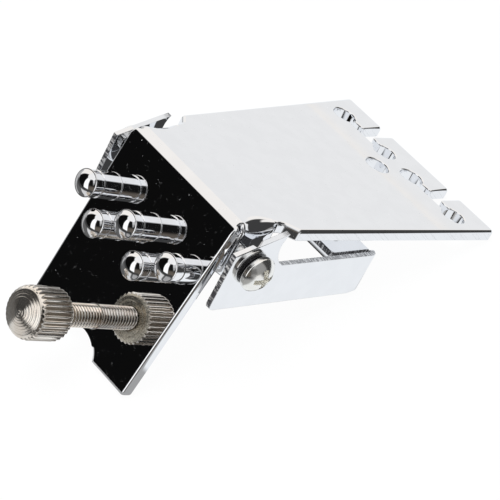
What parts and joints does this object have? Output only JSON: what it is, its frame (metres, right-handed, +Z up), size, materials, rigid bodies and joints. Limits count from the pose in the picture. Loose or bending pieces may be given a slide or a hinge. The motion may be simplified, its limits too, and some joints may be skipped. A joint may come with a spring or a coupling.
{
  "type": "banjo tailpiece",
  "caption": "Bent chrome tailpiece with a slotted top, string posts on its rear wing, a folded bracket that swings on pivot screws and a knurled thumb screw.",
  "frame": {"origin": "middle of the part's bounding box, on the surface it stands on", "axes": "+X runs with the strings towards the front edge, +Y is the left side seen from the rear, +Z is up; the part stands on the top's front edge and the rear wing's lower edge"},
  "size_m": [0.0868, 0.04, 0.029],
  "materials": {
    "plated_sheet": "bright chrome plate on steel sheet",
    "plated_post": "bright chrome plate on turned steel",
    "plated_screw": "nickel-chrome plate, slightly worn at the recess",
    "nickel": "warm nickel plate, turned and knurled"
  },
  "bodies": {
    "plate": {"tailpiece_plate": "plated_sheet", "string_post_1": "plated_post", "string_post_2": "plated_post", "string_post_3": "plated_post", "string_post_4": "plated_post", "string_post_5": "plated_post", "pivot_screw_left": "plated_screw", "pivot_screw_right": "plated_screw", "pivot_washer_left": "plated_screw", "pivot_washer_right": "plated_screw"},
    "bracket": {"mounting_bracket": "plated_sheet"},
    "screw_rod": {"thumb_screw_rod": "nickel"},
    "screw_knob": {"thumb_screw_knob": "nickel"}
  },
  "joints": [
    {"name": "bracket_hinge", "type": "hinge", "parent": "plate", "child": "bracket", "pos_m": [-0.00914, 0, 0.02095], "axis": [0, 1, 0], "range_deg": [-6.5, 77]},
    {"name": "thumb_screw_feed", "type": "slide", "parent": "plate", "child": "screw_rod", "axis": [-0.8117, 0, 0.5841], "range_m": [-0.00805, 0.0007]},
    {"name": "thumb_screw_turn", "type": "hinge", "parent": "screw_rod", "child": "screw_knob", "pos_m": [-0.02788, 0, 0.00596], "axis": [-0.8117, 0, 0.5841], "range_deg": [-4140, 360]}
  ],
  "couplings": [
    {"joint": "thumb_screw_turn", "follows": "thumb_screw_feed", "rad_per_m": 8976}
  ]
}
